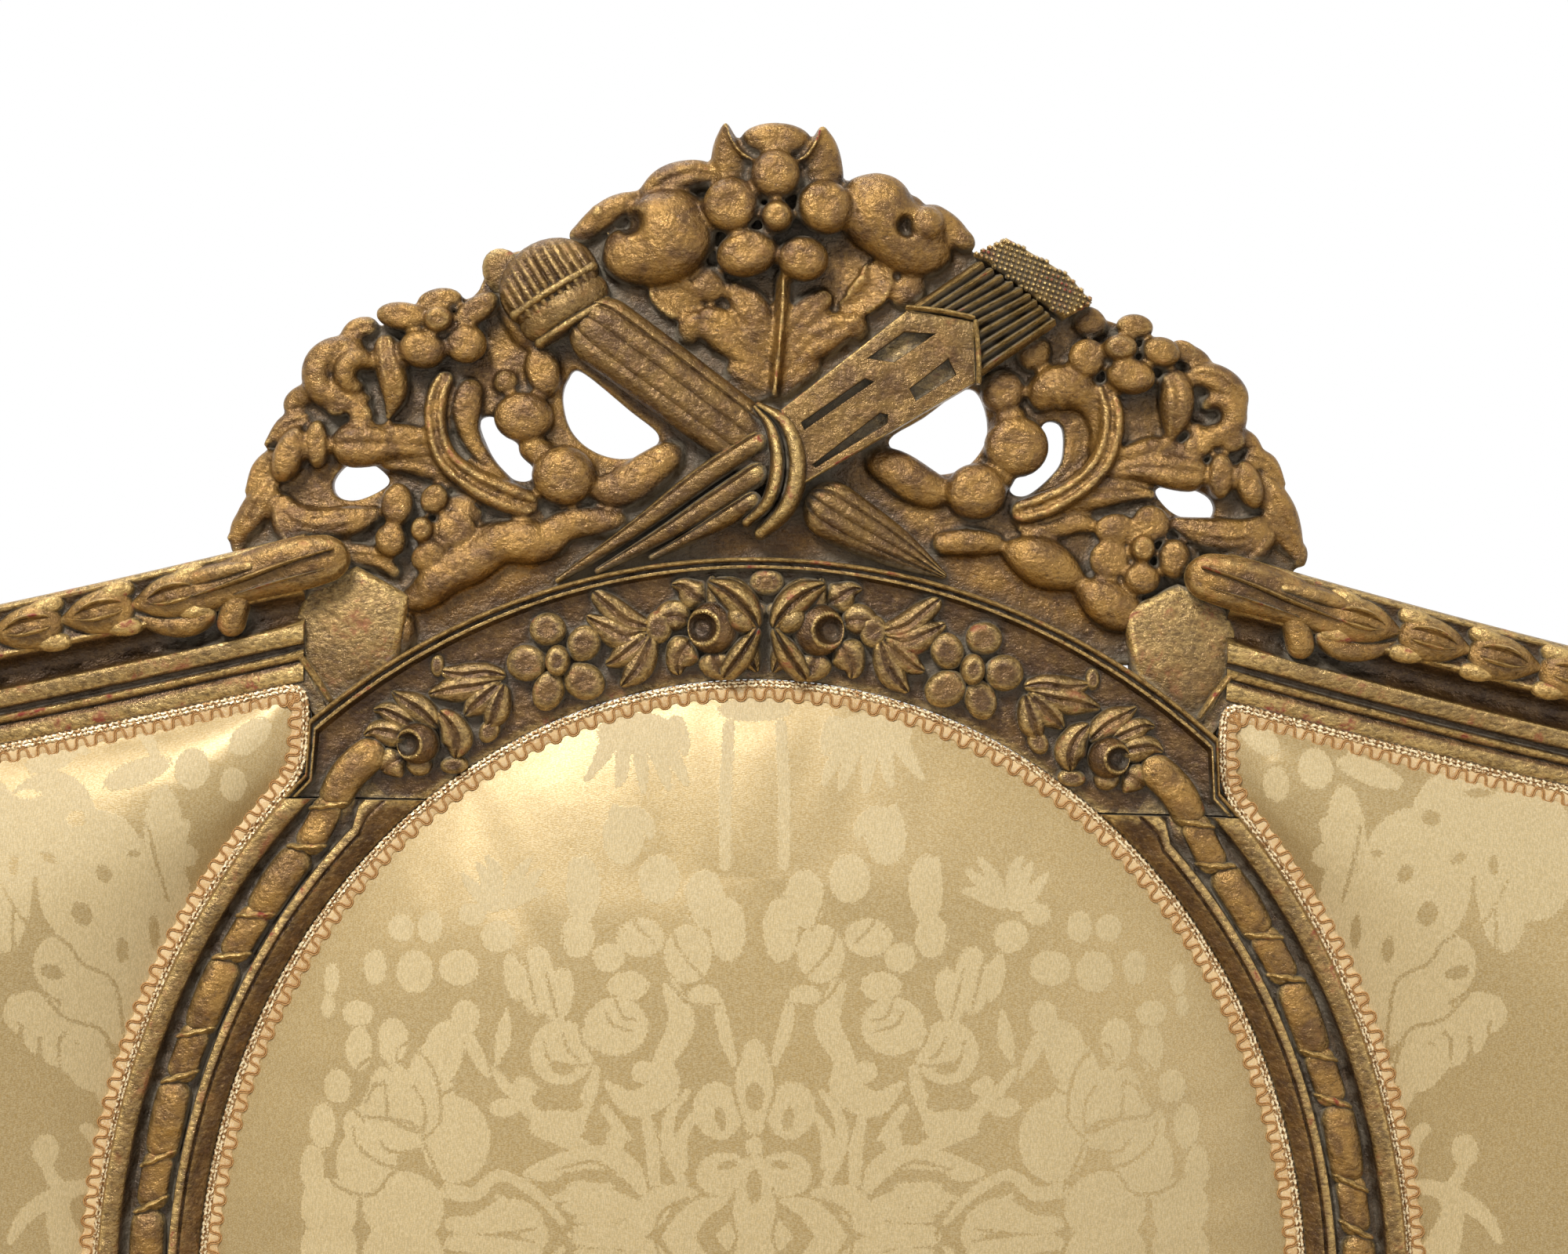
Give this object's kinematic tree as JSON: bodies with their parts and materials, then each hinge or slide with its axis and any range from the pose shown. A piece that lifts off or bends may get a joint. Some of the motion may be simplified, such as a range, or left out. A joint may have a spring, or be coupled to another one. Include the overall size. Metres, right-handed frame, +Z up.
{
  "type": "giltwood sofa",
  "caption": "Carved giltwood sofa with an oval back medallion under a pierced crest, padded side panels, open padded arms, a padded seat and turned fluted legs.",
  "frame": {"origin": "on the floor, under the centre of the sofa's bounding box", "axes": "+X to the right as seen from the front, the front faces -Y, +Z up"},
  "size_m": [1.86, 0.783, 1.344],
  "materials": {
    "gilt_wood": "worn bronze-gold gilding over red bole, satin, dust in the hollows",
    "bare_beech": "unfinished beech",
    "silk_damask": "pale gold silk damask, matt motifs on a satin ground",
    "gimp_braid": "woven braid with a metallic thread and a wavy cord",
    "jute_webbing": "coarse jute",
    "black_cambric": "thin black cambric"
  },
  "bodies": {
    "root": {"crest_cartouche": "gilt_wood", "medallion_arch_rail": "gilt_wood", "medallion_bottom_rail": "gilt_wood", "medallion_stile_left": "gilt_wood", "medallion_stile_right": "gilt_wood", "side_top_rail_left": "gilt_wood", "side_top_rail_right": "gilt_wood", "side_low_rail_left": "gilt_wood", "side_low_rail_right": "gilt_wood", "front_leg_outer_left": "gilt_wood", "front_leg_inner_left": "gilt_wood", "front_leg_inner_right": "gilt_wood", "front_leg_outer_right": "gilt_wood", "rear_leg_outer_left": "gilt_wood", "rear_leg_inner_left": "gilt_wood", "rear_leg_inner_right": "gilt_wood", "rear_leg_outer_right": "gilt_wood", "front_seat_rail_left": "gilt_wood", "front_seat_rail_centre": "gilt_wood", "front_seat_rail_right": "gilt_wood", "rear_seat_rail_left": "gilt_wood", "rear_seat_rail_centre": "gilt_wood", "rear_seat_rail_right": "gilt_wood", "side_seat_rail_left": "gilt_wood", "side_seat_rail_right": "gilt_wood", "cross_rail_left": "bare_beech", "cross_rail_right": "bare_beech", "corner_block_front_left": "bare_beech", "corner_block_front_right": "bare_beech", "corner_block_rear_left": "bare_beech", "corner_block_rear_right": "bare_beech", "arm_post_left": "gilt_wood", "arm_post_right": "gilt_wood", "arm_rest_left": "gilt_wood", "arm_rest_right": "gilt_wood", "arm_pad_left": "silk_damask", "arm_pad_right": "silk_damask", "back_pad_medallion": "silk_damask", "back_pad_side_left": "silk_damask", "back_pad_side_right": "silk_damask", "back_cloth_medallion": "silk_damask", "back_cloth_side_left": "silk_damask", "back_cloth_side_right": "silk_damask", "seat_pad": "silk_damask", "gimp_medallion": "gimp_braid", "gimp_side_left": "gimp_braid", "gimp_side_right": "gimp_braid", "gimp_seat": "gimp_braid", "webbing": "jute_webbing", "dust_cover": "black_cambric"}
  },
  "joints": []
}
